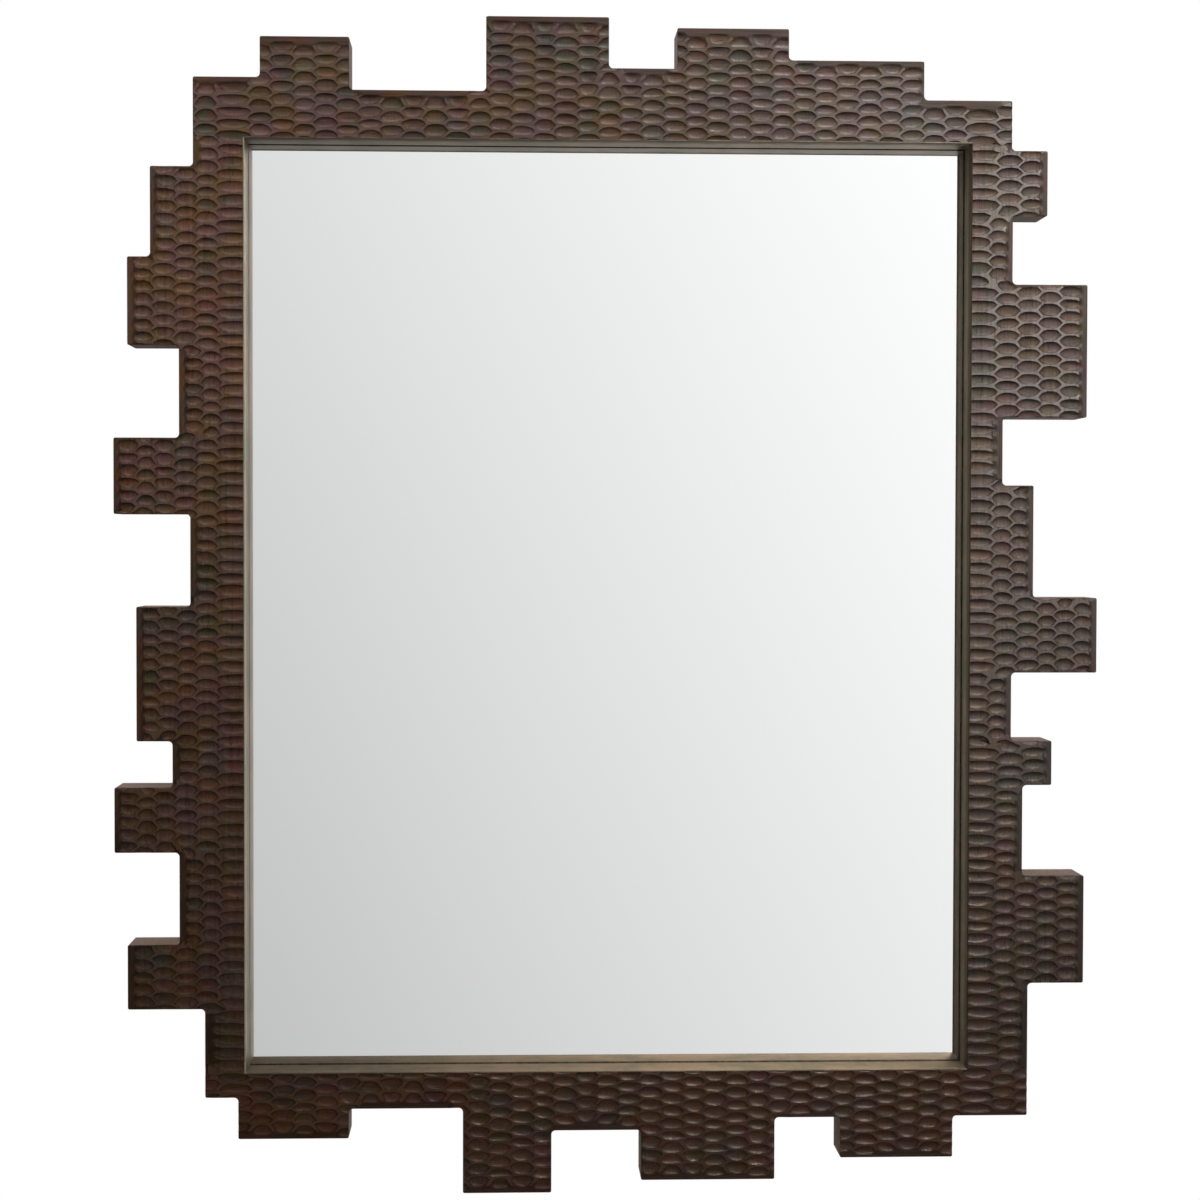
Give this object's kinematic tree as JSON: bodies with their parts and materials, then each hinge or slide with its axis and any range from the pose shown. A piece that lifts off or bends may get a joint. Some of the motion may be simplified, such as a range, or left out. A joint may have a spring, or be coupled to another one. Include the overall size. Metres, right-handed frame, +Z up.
{
  "type": "framed mirror",
  "caption": "Wall mirror in a dark gouge-carved wood frame whose outline steps in and out in square blocks, with a metal liner, backed glass, ring hangers and wall bumpers.",
  "frame": {"origin": "middle of the mirror opening, on the rear face of the back panel, which is level with the back of the wooden frame", "axes": "+X to the right of a person facing the mirror, +Y from the mirror towards the wall, +Z up; the reflecting side faces -Y"},
  "size_m": [0.914, 0.052, 1.092],
  "materials": {
    "carved_wood": "espresso brown stain, satin",
    "dowel_wood": "plain turned beech",
    "liner_metal": "dull champagne, hand-rubbed",
    "mirror_silver": "clear silvered glass",
    "black_rubber": "matt",
    "panel_board": "plain brown fibre board",
    "zinc_steel": "zinc plated"
  },
  "bodies": {
    "frame": {"top_rail": "carved_wood", "bottom_rail": "carved_wood", "left_stile": "carved_wood", "right_stile": "carved_wood", "corner_dowels": "dowel_wood", "liner_top": "liner_metal", "liner_bottom": "liner_metal", "liner_left": "liner_metal", "liner_right": "liner_metal", "mirror_glass": "mirror_silver", "glass_edge_pads": "black_rubber", "foam_strip_top": "black_rubber", "foam_strip_bottom": "black_rubber", "foam_strip_left": "black_rubber", "foam_strip_right": "black_rubber", "back_panel": "panel_board", "panel_screws": "zinc_steel", "hanger_strap_left": "zinc_steel", "hanger_strap_right": "zinc_steel", "hanger_screws": "zinc_steel", "wall_bumper_left": "black_rubber", "wall_bumper_right": "black_rubber"},
    "ring_left": {"hanger_ring_left": "zinc_steel"},
    "ring_right": {"hanger_ring_right": "zinc_steel"}
  },
  "joints": [
    {"name": "ring_left_swing", "type": "hinge", "parent": "frame", "child": "ring_left", "pos_m": [-0.3815, 0.0033, 0.275], "axis": [1, 0, 0], "range_deg": [0, 180]},
    {"name": "ring_right_swing", "type": "hinge", "parent": "frame", "child": "ring_right", "pos_m": [0.3815, 0.0033, 0.275], "axis": [1, 0, 0], "range_deg": [0, 180]}
  ]
}
